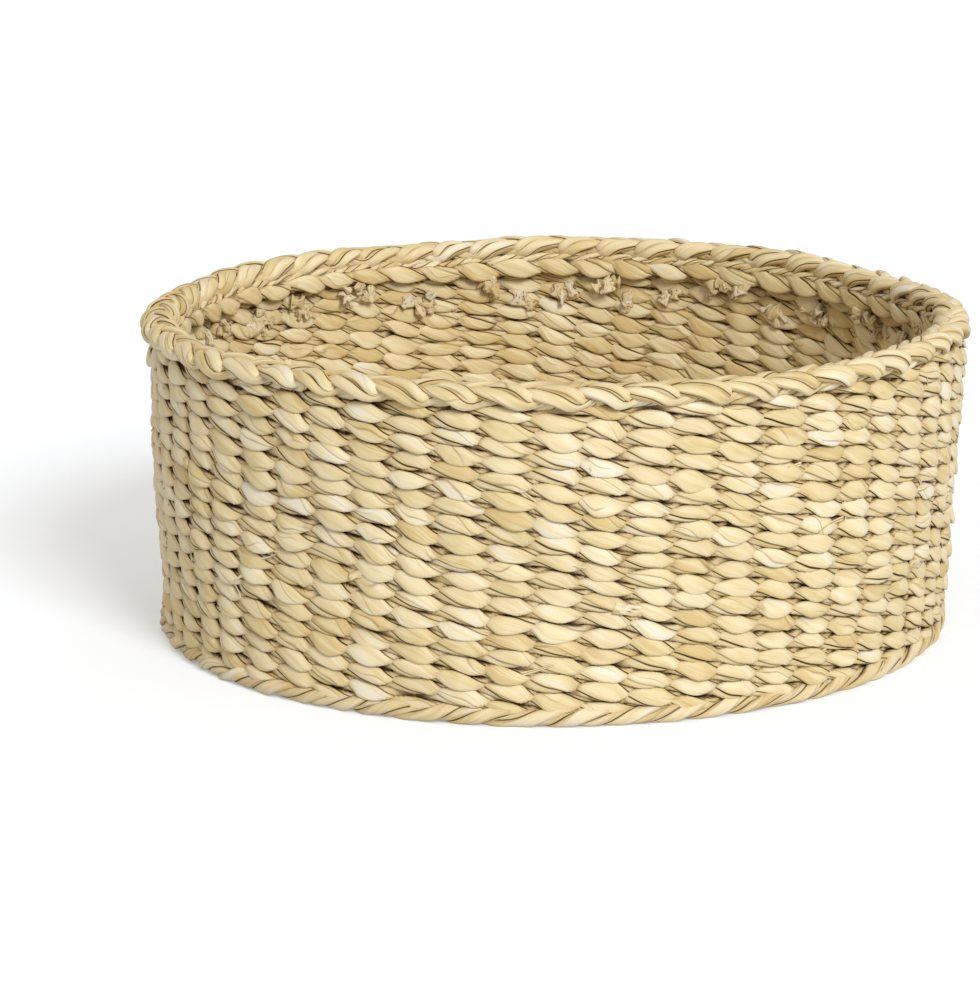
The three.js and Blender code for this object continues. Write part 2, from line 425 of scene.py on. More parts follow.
class Nodes:
    """The node tree of a material or a world, and the one way that nodes are added to it."""

    def __init__(self, owner):
        owner.use_nodes = True
        self.tree = owner.node_tree
        self.tree.nodes.clear()

    def add(self, kind, settings=None, inputs=None, output=0):
        """Add a node by its type, settings, and the values or links of its sockets."""
        node = self.tree.nodes.new(kind)
        for key, value in (settings or {}).items():
            if key == "stops":
                self._stops(node.color_ramp, value)
            else:
                setattr(node, key, value)
        for key, value in (inputs or {}).items():
            if isinstance(value, Value):
                self.tree.links.new(value.socket, node.inputs[key])
            else:
                node.inputs[key].default_value = value
        if not node.outputs:
            return None
        return Value(self, node.outputs[output])

    def parts(self, vector):
        """The three numbers of a vector, or of the attribute that a name stands for."""
        if isinstance(vector, str):
            vector = self.add("ShaderNodeAttribute", {"attribute_name": vector}, output=1)
        apart = self.add("ShaderNodeSeparateXYZ", {}, {0: vector})
        return [Value(self, socket) for socket in apart.socket.node.outputs]

    def _stops(self, ramp, stops):
        """Give a ramp its stops, each a place and a colour."""
        while len(ramp.elements) < len(stops):
            ramp.elements.new(1.0)
        for element, (place, colour) in zip(ramp.elements, stops):
            element.position = place
            element.color = colour

    def mix(self, factor, first, second, blend="MIX"):
        """One colour laid over another. Sockets 6 and 7 are a Mix node's colours."""
        settings = {"data_type": "RGBA", "blend_type": blend}
        values = {"Factor": factor, 6: first, 7: second}
        return self.add("ShaderNodeMix", settings, values, output=2)


def tint(red, green, blue):
    """A colour as read from a screen, 0 to 255, turned into the linear values that a node takes."""
    share = np.array([red, green, blue]) / 255
    linear = np.where(share <= 0.04045, share / 12.92, ((share + 0.055) / 1.055) ** 2.4)
    return (*linear.tolist(), 1.0)


WHITE = (1.0, 1.0, 1.0, 1.0)
WHITISH = tint(240, 229, 205)
PALE = tint(241, 227, 190)
CREAM = tint(238, 220, 176)
BLUSH = tint(236, 213, 172)
STRAW = tint(231, 210, 161)
GREENISH = tint(225, 205, 152)
GOLD = tint(219, 190, 133)
# Painted shade: honey along the creases, amber at the section's edges, deep brown in creases and
# recesses
HONEY_SHADE = tint(214, 184, 118)
TAN = tint(200, 170, 114)
AMBER_SHADE = tint(166, 125, 60)
BROWN = tint(112, 70, 24)
DEEP_SHADE = tint(54, 27, 4)

LEAF_TONES = [
    (0.0, WHITISH),
    (0.16, PALE),
    (0.36, CREAM),
    (0.50, BLUSH),
    (0.64, STRAW),
    (0.80, GREENISH),
    (1.0, GOLD),
]


def leaf_material(name, shade, rough=0.50):
    """Dry leaf: each ply's tone, folded leaf edges, fibres, scuffed spots and painted shade.

    A leaf's folds are a saw-tooth across the ply, bent by slow noise: it climbs from one leaf's edge
    and drops at the next. Painted shade darkens the creases between the plies, the section's edges
    and the wall's recesses, and the scuffed spots carry more of it where strands pass under. The
    whole is multiplied by a shade.
    """
    material = bpy.data.materials.new(name)
    nodes = Nodes(material)
    tone, other, level = nodes.parts("leaf")
    wear, unshaded, seam = nodes.parts("wear")
    place = nodes.add("ShaderNodeUVMap", {"uv_map": "UVMap"})

    def stretched(along, across, detail, shift=0.0):
        """Noise with so many spots to a metre along the strand and across it."""
        sizes = (along, across, 1)
        scaled = nodes.add("ShaderNodeVectorMath", {"operation": "MULTIPLY"}, {0: place, 1: sizes})
        shifts = (shift, shift, shift)
        moved = nodes.add("ShaderNodeVectorMath", {"operation": "ADD"}, {0: scaled, 1: shifts})
        values = {"Vector": moved, "Scale": 1.0, "Detail": detail}
        return nodes.add("ShaderNodeTexNoise", {}, values)

    fibre = stretched(50, 2600, 3.0)
    streak = stretched(34, 620, 2.0, 7.3)
    patch = stretched(60, 160, 2.0, 3.1)
    bend = stretched(30, 60, 1.0, 11.7)
    across = nodes.parts(place)[1]
    saw = (across * 150 + bend * 3.0).fraction()
    presence = stretched(34, 90, 0.0, 19.9).between(0.44, 0.62)
    side = level.between(-0.04, 0.04)
    blend = tone + (other - tone) * side
    grain = streak.between(0.34, 0.66)
    blend = blend + (grain - 0.5) * 0.36 + (patch - 0.5) * 1.2 + (saw - 0.5) * presence * 0.25
    colour = nodes.add("ShaderNodeValToRGB", {"stops": LEAF_TONES}, {"Fac": blend})
    colour = nodes.mix((fibre - 0.52).between(0.0, 0.22) * 0.30, colour, TAN)
    crease = 1 - level.size().between(0.02, 0.24)
    fold_line = (saw - 0.5).size().between(0.44, 0.5) * presence
    # Painted shade, amber, towards the section's edges and in the wall's recesses
    colour = nodes.mix((1 - unshaded.between(0.28, 0.92)) * 0.60, colour, AMBER_SHADE)
    # Painted shade in a broad honey band along the creases between the plies
    colour = nodes.mix((1 - level.size().between(0.1, 0.85)) * (0.14 + seam * 0.28), colour, HONEY_SHADE)
    colour = nodes.mix(fold_line * 0.45, colour, BROWN)
    # Painted shadow, deep brown, as a narrow line in the creases themselves
    edge = crease * (0.55 + patch * 0.7) * seam
    colour = nodes.mix(edge, colour, DEEP_SHADE)
    # Scuffed spots: random, plus painted shade where the strands pass under
    worn_and_shaded = (wear + (streak - 0.5) * 0.6 + (patch - 0.5) * 0.4).between(0.55, 1.1)
    colour = nodes.mix(worn_and_shaded * 0.7, colour, BROWN)
    # Painted shade, deep brown, in the wall's recesses and at the section's edges
    colour = nodes.mix((1 - unshaded.between(0.10, 0.56)) * 0.95, colour, DEEP_SHADE)
    colour = nodes.mix(1.0, colour, (*shade, 1.0), "MULTIPLY")
    height = fibre * 0.5 + grain * 0.5 + saw * presence * 1.1 - edge * 0.8
    values = {"Strength": 0.8, "Distance": 0.0004, "Height": height}
    relief = nodes.add("ShaderNodeBump", {}, values)
    roughness = rough + (streak - 0.5) * 0.2
    shader = nodes.add("ShaderNodeBsdfPrincipled", {}, {
        "Base Color": colour, "Roughness": roughness, "Normal": relief, "Specular IOR Level": 0.35})
    nodes.add("ShaderNodeOutputMaterial", {}, {"Surface": shader})
    return material


def finish_piece(piece, material, slot, *replaced):
    """Give a piece its material and the root body, hide the nodes it stands for; slot is not used."""
    piece.data.materials.append(material)
    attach(piece, "root")
    if replaced:
        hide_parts(*replaced)


# The woven wall


def wall_radius(height):
    """Radius of the stakes' middle: the wall leans out evenly from its first round to its last."""
    share = (height - FIRST_LEVEL) / (LAST_LEVEL - FIRST_LEVEL)
    outside = FIRST_HIGH[0] + (LAST_HIGH[0] - FIRST_HIGH[0]) * share
    return outside - WEAVE_HALF


def woven_round(rng, level, row, settings, radius_at, steps, grow=1.0):
    """One strand woven round the stakes, opposite to the rows above and below.

    Its radius swings out over one stake and in behind the next, as a softened cosine of its phase.
    Its height falls as the sine, so that stitches lean the same way seen from either side. Its plies
    make one turn from one outside stitch to the next, fastest where stitches cross. It is tallest at
    a stake and narrows evenly towards a crossing, and its depth passes from half_depth at a stake to
    tip_depth at a crossing as the square of the sine. Both sizes are divided by how far the plies
    reach at their twist, so that the turn doesn't change the outline.
    """
    count = STAKES
    angle = ring_angles(count // 2 * steps)
    phase = count / 2 * angle + np.pi * row
    # Each stitch keeps its own time, lean, size and place by hand
    phase = phase + drifting(draws(rng, count, 0.36), (phase + np.pi / 2) / np.pi)
    place = (phase + np.pi / 2) / np.pi
    swing = np.tanh(settings.firmness * np.cos(phase)) / np.tanh(settings.firmness)
    full = np.abs(np.cos(phase))
    lean = drifting(draws(rng, count, 0.7 * MM, settings.lean), place)
    width = drifting(draws(rng, count, 0.13, 1.0), place)
    depth = drifting(draws(rng, count, 0.14, 1.0), place)
    proud = drifting(draws(rng, count, 0.6 * MM), place)
    raised = drifting(draws(rng, count, 0.5 * MM), place)
    height = level - lean * np.sin(phase) + raised
    offset = (settings.swing + proud) * swing + settings.overlap * np.sin(phase)
    centre = ring_point(angle, radius_at(height) + offset, height)
    outward = ring_point(angle, 1, 0)
    rise = settings.blunt * (1 - np.arccos(full) * 2 / np.pi)
    rise = rise / (1 + rise ** 6) ** (1 / 6)
    tall = settings.tip_height + (settings.half_height - settings.tip_height) * rise
    deep = settings.half_depth + (settings.tip_depth - settings.half_depth) * (1 - full ** 2)
    strand = Strand(centre, outward, tall * width * grow, deep * depth)
    strand.lobe = 0.28
    # How dark the painted shade in each stitch's creases is
    strand.seam = drifting(rng.uniform(0.4, 1.5, count), place)
    turned = drifting(draws(rng, count, 0.7, -0.25), place)
    strand.twist = phase + np.pi / 2 - 0.34 * np.sin(2 * phase) + turned
    strand.sharp = -0.62
    reach_up = 1 - strand.lobe + strand.lobe * np.abs(np.cos(strand.twist))
    reach_out = 1 - strand.lobe + strand.lobe * np.abs(np.sin(strand.twist))
    strand.half_width = strand.half_width / reach_up
    strand.half_depth = strand.half_depth / reach_out ** (1 + strand.sharp)
    strand.tilt = settings.tilt * swing
    strand.offset = offset
    base_tone = 0.12 * rng.uniform(-1, 1)
    strand.dye(rng, count, place, base_tone, base_tone + 0.05)
    # Random scuffs, and painted shade towards each crossing, where the strand goes into the wall
    tired = rng.uniform(size=count) ** 4
    strand.wear = by_stitch(tired, place) * (1.1 - full) + 0.10 * (1 - full)
    return strand


class BasketWeaveSettings(bpy.types.PropertyGroup):
    steps: bpy.props.IntProperty(
        name="Steps", description="Sections of a strand from one outside stitch to the next",
        default=28, min=8)
    swing: bpy.props.FloatProperty(
        name="Swing", description="How far a strand swings out from the middle of the wall",
        default=1.8 * MM, unit="LENGTH")
    firmness: bpy.props.FloatProperty(
        name="Firmness", description="How sharply a strand turns from the outside to the inside",
        default=0.9, min=0.1)
    lean: bpy.props.FloatProperty(
        name="Lean", description="How far a stitch falls from its middle to where the next covers it",
        default=0.8 * MM, unit="LENGTH")
    half_height: bpy.props.FloatProperty(
        name="Half height", description="Half the height of a stitch over its stake",
        default=4.8 * MM, unit="LENGTH")
    tip_height: bpy.props.FloatProperty(
        name="Tip half height", description="Half the height of a strand where two stitches cross",
        default=2.8 * MM, unit="LENGTH")
    blunt: bpy.props.FloatProperty(
        name="Blunt", description="How long a stitch keeps its height before it narrows",
        default=1.35, min=0.1)
    half_depth: bpy.props.FloatProperty(
        name="Half depth", description="Half the thickness of a stitch over its stake",
        default=3.0 * MM, unit="LENGTH")
    tip_depth: bpy.props.FloatProperty(
        name="Tip half depth", description="Half a strand's thickness where two stitches cross",
        default=3.0 * MM, unit="LENGTH")
    overlap: bpy.props.FloatProperty(
        name="Overlap", description="How far a stitch's end lies over the start of the one below",
        default=0.1 * MM, unit="LENGTH")
    tilt: bpy.props.FloatProperty(
        name="Tilt", description="How much further out a stitch's lower edge stands than its upper",
        default=0.17, min=0)
    ends: bpy.props.IntProperty(
        name="Loose ends", description="Leaf ends that lie on the outside of the wall, splices too",
        default=120, min=1)
    splices: bpy.props.IntProperty(
        name="Splices", description="How many of them are splices, where a new leaf was laid in",
        default=26, min=0)
    shade: bpy.props.FloatVectorProperty(
        name="Shade", description="Colour that the leaf's own tones are multiplied by",
        default=(0.97, 1.0, 1.04), subtype="COLOR")


class BASKET_OT_wall(bpy.types.Operator):
    """Weave the strands of the wall round the stakes"""
    bl_idname = "basket.wall"
    bl_label = "Woven wall"

    def execute(self, context):
        settings = context.scene.basket_weave
        material = leaf_material("woven_leaf", settings.shade)
        rows = len(SIDE_ROUNDS)
        for number, node in enumerate(SIDE_ROUNDS):
            rng = np.random.default_rng(500 + number)
            level = FIRST_LEVEL + (LAST_LEVEL - FIRST_LEVEL) * number / (rows - 1)
            strand = woven_round(rng, level, number, settings, wall_radius, settings.steps)
            piece = join(f"{node}_strand", [strand], 20, number)
            finish_piece(piece, material, "weave", node)
        rng = np.random.default_rng(480)
        step = 0.95 * (LAST_LEVEL - FIRST_LEVEL) / (rows - 1)
        slimmer = 0.7
        tight = [woven_round(rng, level, row, settings, wall_radius, 20, slimmer)
                 for level, row in ((LAST_LEVEL + step, rows), (FIRST_LEVEL - step, 1))]
        finish_piece(join("packing_rounds", tight, 14, 60), material, "weave")
        return {"FINISHED"}


# Stakes and spokes


def side_stake_path(number, settings):
    """Middle line of a side stake: down the wall, and round a quarter of a circle onto the base."""
    foot = BASE_LEVEL + settings.turn
    wall = np.linspace(RIM_HIGH[2] - 7.3 * MM, foot, 26)
    bend = np.linspace(0, np.pi / 2, 8)[1:]
    corner = wall_radius(foot) - settings.turn
    turning = corner + settings.turn * np.cos(bend)
    radius = np.concatenate([wall_radius(wall), turning, [corner - 4 * MM]])
    height = np.concatenate([wall, foot - settings.turn * np.sin(bend), [BASE_LEVEL]])
    out = np.concatenate([np.ones(len(wall)), np.cos(bend), [0.0]])
    angle = TAU * number / STAKES
    centre = ring_point(angle, radius, height)
    outward = ring_point(angle, out, 0)
    outward[:, 2] = -np.sqrt(1 - out ** 2)
    return centre, outward


def spoke_path(number, settings):
    """Middle line of a spoke: straight in from a side stake to the hub, where it is slimmer.

    An odd spoke stops short of the hub, and draws up beside its even neighbour on the way.
    """
    odd = number % 2
    end = ODD_SPOKES_END if odd else HUB - 6 * MM
    radius = np.linspace(wall_radius(BASE_LEVEL) - settings.turn, end, 22)
    beside = TAU * (number - 1) / STAKES + 0.045
    share = smooth(radius, 92 * MM, 165 * MM) if odd else 1.0
    angle = beside + (TAU * number / STAKES - beside) * share
    centre = ring_point(angle, radius, BASE_LEVEL)
    slim = 0.45 + 0.55 * smooth(radius, 30 * MM, 100 * MM)
    return centre, flat_way(centre, -1.0), slim


class BasketStakeSettings(bpy.types.PropertyGroup):
    turn: bpy.props.FloatProperty(
        name="Turn", description="Radius of the bend from the wall into the base",
        default=5.0 * MM, unit="LENGTH")
    half_width: bpy.props.FloatProperty(
        name="Half width", description="Half the width of a stake along the wall",
        default=3.4 * MM, unit="LENGTH")
    half_depth: bpy.props.FloatProperty(
        name="Half depth", description="Half the thickness of a stake through the wall",
        default=1.6 * MM, unit="LENGTH")
    shade: bpy.props.FloatVectorProperty(
        name="Shade", description="Colour that the tones of the stakes are multiplied by",
        default=tint(246, 236, 226)[:3], subtype="COLOR")
    packing_shade: bpy.props.FloatVectorProperty(
        name="Packing shade", description="Colour for the tones of the leaves between the stakes",
        default=tint(184, 150, 116)[:3], subtype="COLOR")


class BASKET_OT_stakes(bpy.types.Operator):
    """Bend the stakes up the wall and along the base, and coil the hub where they meet"""
    bl_idname = "basket.stakes"
    bl_label = "Stakes and spokes"

    def execute(self, context):
        settings = context.scene.basket_stakes
        material = leaf_material("stake_leaf", settings.shade)
        rng = np.random.default_rng(31)
        stakes, spokes = [], []
        for number in range(STAKES):
            path = side_stake_path(number, settings)
            stakes.append(self.leaf(rng, *path, settings.half_width, settings.half_depth))
            *path, slim = spoke_path(number, settings)
            spokes.append(self.leaf(rng, *path, settings.half_width * slim, settings.half_depth))
        finish_piece(join("side_stake_leaves", stakes, 12, 70), material, "stakes", "stakes")
        finish_piece(join("spoke_leaves", spokes, 12, 73), material, "stakes", "stakes")
        finish_piece(join("hub_coil", [self.hub(rng)], 14, 71), material, "stakes")
        packing = [self.packing(rng, number) for number in range(STAKES)]
        material = leaf_material("packing_leaf", settings.packing_shade)
        finish_piece(join("packing_leaves", packing, 10, 72), material, "stakes")
        return {"FINISHED"}

    def leaf(self, rng, centre, outward, half_width, half_depth):
        """A leaf along a path, whose twist, tones and wear drift between values along it."""
        strand = Strand(centre, outward, half_width, half_depth, closed=False)
        count = 7
        place = np.linspace(0, count - 1, len(centre))
        strand.twist = 0.4 * drifting(draws(rng, count, 1.0), place)
        strand.dye(rng, count, place, 0.1, 0.15, drifting)
        strand.wear = drifting(rng.uniform(0, 0.5, count), place)
        return strand

    def packing(self, rng, number):
        """A flat upright leaf between two stakes, in the middle of the wall."""
        steps = 30
        count = 9
        height = np.linspace(RIM_HIGH[2] - 8 * MM, BASE_LEVEL, steps)
        angle = TAU * (number + 0.5) / STAKES
        centre = ring_point(angle, wall_radius(height) + draws(rng, steps, 0.2 * MM), height)
        outward = ring_point(np.full(steps, angle), 1, 0)
        strand = Strand(centre, outward, 10.5 * MM, 0.6 * MM, closed=False)
        strand.twist = np.zeros(steps)
        strand.lobe = 0.1
        place = np.linspace(0, count - 1, steps)
        strand.dye(rng, count, place, 0.1, 0.2, drifting)
        strand.wear = drifting(rng.uniform(0.2, 0.8, count), place)
        return strand

    def hub(self, rng):
        """The binding of the hub: a flat spiral whose radius grows evenly with its angle."""
        turns = 6
        count = 41
        angle = np.linspace(0, TAU * turns, turns * 56)
        radius = 1.8 * MM + (HUB - 2.2 * MM) * angle / (TAU * turns)
        centre = ring_point(angle, radius, BASE_LEVEL)
        strand = Strand(centre, flat_way(centre, 1.0), 3.1 * MM, 2.2 * MM, closed=False)
        place = np.linspace(0, count - 1, len(angle))
        strand.twist = place * 1.4
        strand.dye(rng, count, place, 0.0, 0.0, drifting)
        return strand


# The base


def base_strand(rng, radius, row, spokes, settings):
    """One strand woven over and under the spokes of the base, opposite to the strands beside it.

    Its height swings as the softened cosine of its phase, as a side strand's radius does.
    """
    count = spokes
    angle = ring_angles(count // 2 * settings.steps)
    phase = count / 2 * angle + np.pi * row
    place = (phase + np.pi / 2) / np.pi
    swing = np.tanh(1.2 * np.cos(phase)) / np.tanh(1.2)
    full = np.abs(np.cos(phase))
    height = BASE_LEVEL + settings.swing * swing + drifting(draws(rng, count, 0.2 * MM), place)
    wander = drifting(draws(rng, count, 0.35 * MM), place) + 0.3 * MM * np.sin(phase)
    centre = ring_point(angle, radius + wander, height)
    width = drifting(draws(rng, count, 0.10, 1.0), place)
    half_width = settings.half_width * (0.74 + 0.26 * full) * width
    strand = Strand(centre, flat_way(centre, 1.0), half_width, 1.5 * MM + 0.15 * MM * full)
    strand.sharp = -0.2
    strand.twist = phase + np.pi / 2 + drifting(draws(rng, count, 0.8), place)
    strand.dye(rng, count, place, 0.03, 0.08)
    # Random scuffs, painted stronger as shade where the strand dips between over and under
    strand.wear = by_stitch(rng.uniform(size=count) ** 5, place) * (1.1 - full)
    return strand


class BasketBaseSettings(bpy.types.PropertyGroup):
    finer: bpy.props.IntProperty(
        name="Strands in a round", description="Strands of the base woven in place of each round",
        default=3, min=1)
    steps: bpy.props.IntProperty(
        name="Steps", description="Sections of a strand from one stitch on top to the next",
        default=16, min=8)
    swing: bpy.props.FloatProperty(
        name="Swing", description="How far a strand of the base swings over and under a spoke",
        default=2.7 * MM, unit="LENGTH")
    half_width: bpy.props.FloatProperty(
        name="Half width", description="Half the width of a strand of the base over its spoke",
        default=4.5 * MM, unit="LENGTH")


class BASKET_OT_base(bpy.types.Operator):
    """Weave the base over the spokes"""
    bl_idname = "basket.base"
    bl_label = "Woven base"

    def execute(self, context):
        settings = context.scene.basket_base
        material = leaf_material("base_leaf", context.scene.basket_weave.shade)
        inner = HUB + 2.0 * MM
        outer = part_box(BASE_ROUNDS[-1])[1][0] - 1.5 * MM
        total = settings.finer * len(BASE_ROUNDS)
        for number, node in enumerate(BASE_ROUNDS):
            strands = []
            for part in range(settings.finer):
                row = number * settings.finer + part
                rng = np.random.default_rng(900 + row)
                radius = inner + (outer - inner) * row / (total - 1)
                spokes = STAKES if radius > ALL_SPOKES_FROM else STAKES // 2
                strands.append(base_strand(rng, radius, row, spokes, settings))
            piece = join(f"{node}_strands", strands, 12, 100 + number)
            finish_piece(piece, material, "base_weave", node)
        return {"FINISHED"}


# Ropes: two strands wrapped round each other


def rope(rng, radius, height, turns, swing, half, steps=40):
    """Two strands wrapped round each other in a ring, half a turn apart.

    Each one's distance out is the cosine of its phase and its height the sine, times the two parts
    of the swing. half is a strand's half width and half depth.
    """
    strands = []
    count = 2 * turns
    angle = ring_angles(turns * steps)
    for ply in range(2):
        phase = turns * angle + np.pi * ply
        place = phase / np.pi + 0.5
        wobble = drifting(draws(rng, count, 0.35 * MM), place)
        centre = ring_point(angle, radius + swing[0] * np.cos(phase) + wobble, 0)
        wobble = 0.7 * drifting(draws(rng, count, 0.35 * MM), place)
        centre[:, 2] = height + swing[1] * np.sin(phase) + wobble
        outward = ring_point(angle, np.cos(phase), 0)
        outward[:, 2] = np.sin(phase)
        width = drifting(draws(rng, count, 0.10, 1.0), place)
        strand = Strand(centre, outward, half[0] * width, half[1] * width)
        strand.twist = np.pi / 2 + drifting(draws(rng, count, 1.3), place)
        strand.sharp = -0.25
        strand.shade = 0.7
        strand.dye(rng, count, place, 0.03, 0.08)
        # Random scuffs, painted stronger as shade where the strand lies behind the other
        tired = by_stitch(rng.uniform(size=count) ** 3, place)
        strand.wear = tired * 0.5 * (0.6 - 0.5 * np.cos(phase))
        strands.append(strand)
    return strands


class BasketFootSettings(bpy.types.PropertyGroup):
    turns: bpy.props.IntProperty(
        name="Turns", description="Full turns of the foot's two strands round each other",
        default=27, min=3)
    half_thickness: bpy.props.FloatProperty(
        name="Half thickness", description="From the foot's outside to the middle of its rope",
        default=4.1 * MM, unit="LENGTH")
    shade: bpy.props.FloatVectorProperty(
        name="Shade", description="Colour that the tones of the foot are multiplied by",
        default=(0.92, 0.93, 0.95), subtype="COLOR")


class BASKET_OT_foot(bpy.types.Operator):
    """Twist the border round the foot, with a second row inside it under the turn"""
    bl_idname = "basket.foot"
    bl_label = "Foot border"

    def execute(self, context):
        settings = context.scene.basket_foot
        material = leaf_material("foot_leaf", settings.shade)
        rng = np.random.default_rng(64)
        outer = rope(rng, FOOT_HIGH[0] - settings.half_thickness, FOOT_HIGH[2] / 2 - 0.2 * MM,
                     settings.turns, swing=(1.7 * MM, 1.8 * MM), half=(4.4 * MM, 2.8 * MM))
        inner = rope(rng, FOOT_HIGH[0] - 11.5 * MM, 3.1 * MM,
                     settings.turns, swing=(1.5 * MM, 0.9 * MM), half=(3.0 * MM, 1.9 * MM), steps=24)
        finish_piece(join("foot_rope", outer, 20, 80), material, "borders", "foot_border")
        finish_piece(join("foot_inner_rope", inner, 14, 81), material, "borders", "foot_border")
        return {"FINISHED"}


# The plaited rim


def oval(arc, middle_radius, middle_height, half_width, half_height, start):
    """Points and outward normals round an oval section, at an arc length from a starting angle.

    Positive lengths run down the outside. The angle at a length comes from adding up short chords.
    """
    turn = np.linspace(start - np.pi * 1.2, start + np.pi * 1.2, 800)
    x = half_width * np.cos(turn)
    z = half_height * np.sin(turn)
    lengths = np.concatenate([[0], np.cumsum(np.hypot(np.diff(x), np.diff(z)))])
    lengths = lengths - np.interp(start, turn, lengths)
    at = np.interp(-arc, lengths, turn)
    radius = middle_radius + half_width * np.cos(at)
    height = middle_height + half_height * np.sin(at)
    normal = np.stack([np.cos(at) / half_width, np.sin(at) / half_height], axis=-1)
    return radius, height, unit(normal)


def plait_cord(strand_number, cord, settings, rng):
    """One cord of a three-strand plait laid over the rim.

    Across the plait it swings as a straightened sine of its turn, and in depth as the sine of twice
    that, so each strand passes over the middle and then under the next. The turn lags behind the
    phase by the square of its sine, so that the arms in sight are longer than the ones underneath.
    A strand's cords lie side by side.
    """
    turns = settings.plaits
    count = 2 * turns
    angle = ring_angles(turns * 38)
    phase = turns * angle + TAU * strand_number / 3
    place = phase / np.pi
    swing = settings.swing
    turn = phase - settings.lag * np.sin(phase) ** 2
    straight = np.arcsin(0.94 * np.sin(turn)) / np.arcsin(0.94)
    crossing = swing * np.cos(turn) * turns * (1 - settings.lag * np.sin(2 * phase))
    tilt = np.arctan2(crossing, PLAIT_RADIUS)
    offset = cord * settings.cord_half_width * 0.92
    wander = drifting(draws(rng, count, 1.2 * MM), place)
    across = swing * straight + offset * np.cos(tilt) + wander
    sideways = -offset * np.sin(tilt)
    depth = settings.weave * np.sin(2 * turn) + drifting(draws(rng, count, 0.6 * MM), place)
    wide, high = 8.5 * MM, 7.0 * MM
    radius, height, normal = oval(across, RIM_HIGH[0] - wide, RIM_HIGH[2] - high, wide, high,
                                  np.radians(settings.spine))
    sunk = depth - settings.weave - settings.cord_half_depth + 0.5 * MM
    at = angle + sideways / PLAIT_RADIUS
    centre = ring_point(at, radius + normal[:, 0] * sunk, 0)
    centre[:, 2] = height + normal[:, 1] * sunk
    outward = ring_point(at, normal[:, 0], 0)
    outward[:, 2] = normal[:, 1]
    over = smooth(np.sin(2 * turn), -0.6, 0.8)
    full = 0.85 + 0.2 * over
    half_width = settings.cord_half_width * full * drifting(draws(rng, count, 0.12, 1.0), place)
    half_depth = settings.cord_half_depth * full * drifting(draws(rng, count, 0.12, 1.0), place)
    strand = Strand(centre, outward, half_width, half_depth)
    strand.lobe = 0.2
    strand.sharp = -0.3
    strand.shade = 0.55
    strand.twist = np.pi / 2 + drifting(draws(rng, count, 1.1), place)
    strand.dye(rng, count, place, 0.02, 0.05)
    # Random scuffs, painted only where the strand passes under, as shade
    strand.wear = by_stitch(rng.uniform(size=count) ** 4, place) * (1 - over)
    return strand


class BasketRimSettings(bpy.types.PropertyGroup):
    plaits: bpy.props.IntProperty(
        name="Plaits", description="Times that each strand of the plait crosses it and comes back",
        default=18, min=3)
    spine: bpy.props.FloatProperty(
        name="Spine", description="Where on the rim the plait's middle lies, in degrees above level",
        default=86.0)
    swing: bpy.props.FloatProperty(
        name="Swing", description="How far a strand swings to each side of the plait's middle",
        default=13.0 * MM, unit="LENGTH")
    lag: bpy.props.FloatProperty(
        name="Lag", description="How much longer an arm in sight is than the one underneath",
        default=0.55, min=0, max=0.9)
    weave: bpy.props.FloatProperty(
        name="Weave", description="How far a strand rises and dips as it passes over and under",
        default=2.1 * MM, unit="LENGTH")
    cord_half_width: bpy.props.FloatProperty(
        name="Cord half width", description="Half the width of one cord",
        default=3.2 * MM, unit="LENGTH")
    cord_half_depth: bpy.props.FloatProperty(
        name="Cord half depth", description="Half the thickness of one cord",
        default=2.1 * MM, unit="LENGTH")


class BASKET_OT_rim(bpy.types.Operator):
    """Plait the rim over the wall's top, with a core inside it"""
    bl_idname = "basket.rim"
    bl_label = "Plaited rim"

    def execute(self, context):
        settings = context.scene.basket_rim
        material = leaf_material("rim_leaf", context.scene.basket_weave.shade)
        rng = np.random.default_rng(77)
        for number in range(3):
            cords = [plait_cord(number, cord, settings, rng) for cord in (-1, 1)]
            piece = join(f"rim_plait_{'abc'[number]}", cords, 16, 50 + number)
            finish_piece(piece, material, "borders", "rim_border")
        core = rope(rng, RIM_HIGH[0] - 8.5 * MM, RIM_HIGH[2] - 8.0 * MM, turns=40,
                    swing=(2.2 * MM, 1.6 * MM), half=(3.6 * MM, 2.4 * MM), steps=16)
        under = rope(rng, RIM_HIGH[0] - 14.0 * MM, RIM_HIGH[2] - 11.0 * MM, turns=42,
                     swing=(1.0 * MM, 1.2 * MM), half=(2.6 * MM, 1.8 * MM), steps=14)
        finish_piece(join("rim_core", core + under, 10, 55), material, "borders", "rim_border")
        return {"FINISHED"}


# The inside edge


